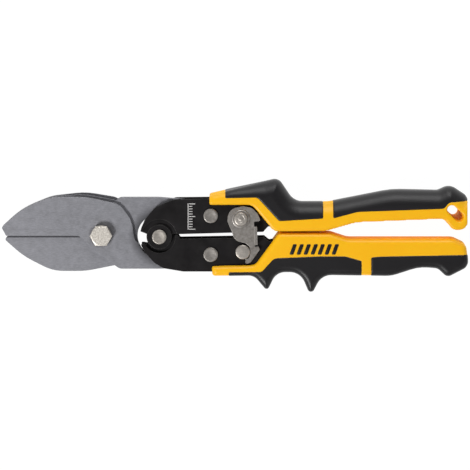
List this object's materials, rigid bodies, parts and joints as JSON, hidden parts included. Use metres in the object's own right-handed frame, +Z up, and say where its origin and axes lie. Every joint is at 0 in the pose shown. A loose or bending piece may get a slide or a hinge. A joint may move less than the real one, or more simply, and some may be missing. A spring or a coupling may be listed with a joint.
{
  "type": "hand crimper",
  "caption": "Compound-action hand crimper with interleaved leaf-shaped blades, channel handles with two-colour grips and a swinging thumb latch.",
  "frame": {"origin": "on the pivot bolt's axis, at the level of the table on which the tool lies", "axes": "+X from the jaws to the ends of the grips, +Y from the lower jaw to the upper jaw in the plane of the tool, +Z up along the pivot bolt"},
  "size_m": [0.2666, 0.064, 0.0241],
  "materials": {
    "blade_steel": "fine ground and dull plated",
    "black_steel": "black oxide, satin",
    "zinc": "bright zinc plated",
    "yellow_plastic": "moulded, semi-gloss",
    "black_rubber": "soft overmould, satin"
  },
  "bodies": {
    "lower_handle": {"lower_handle_channel": "black_steel", "hub_pin": "zinc", "hub_washers": "black_steel", "hub_spacer": "zinc", "opening_spring": "blade_steel", "lower_tail_rivet": "zinc", "catch_post": "zinc", "lower_grip_core": "yellow_plastic", "lower_front_overmold": "black_rubber", "lower_rear_overmold": "black_rubber"},
    "upper_handle": {"upper_handle_channel": "black_steel", "upper_tail_rivet": "zinc", "latch_rivet": "zinc", "latch_washer": "zinc", "upper_grip_core": "yellow_plastic", "upper_front_overmold": "black_rubber", "upper_rear_overmold": "black_rubber"},
    "upper_jaw": {"upper_blade_front": "blade_steel", "upper_blade_middle": "blade_steel", "upper_blade_rear": "blade_steel", "pivot_bolt": "zinc", "pivot_washers": "zinc", "pivot_nut": "zinc", "lower_tail_spacers": "blade_steel"},
    "lower_jaw": {"lower_blade_front": "blade_steel", "lower_blade_rear": "blade_steel", "upper_tail_spacers": "blade_steel"},
    "latch": {"latch_plate": "zinc"}
  },
  "joints": [
    {"name": "handle_hinge", "type": "hinge", "parent": "lower_handle", "child": "upper_handle", "pos_m": [0.0333, -0.0005, 0.011], "axis": [0, 0, 1], "range_deg": [0, 28]},
    {"name": "upper_jaw_hinge", "type": "hinge", "parent": "lower_handle", "child": "upper_jaw", "pos_m": [0.0627, -0.0108, 0.011], "axis": [0, 0, 1], "range_deg": [0, 8.3]},
    {"name": "jaw_pivot", "type": "hinge", "parent": "upper_jaw", "child": "lower_jaw", "pos_m": [0, 0, 0.011], "axis": [0, 0, 1], "range_deg": [0, 12.7]},
    {"name": "latch_swing", "type": "hinge", "parent": "upper_handle", "child": "latch", "pos_m": [0.0799, 0.0099, 0.0194], "axis": [0, 0, 1], "range_deg": [-5, 7.5]}
  ],
  "couplings": [
    {"joint": "upper_jaw_hinge", "follows": "handle_hinge", "ratio": 0.2942},
    {"joint": "jaw_pivot", "follows": "handle_hinge", "ratio": 0.4519}
  ]
}
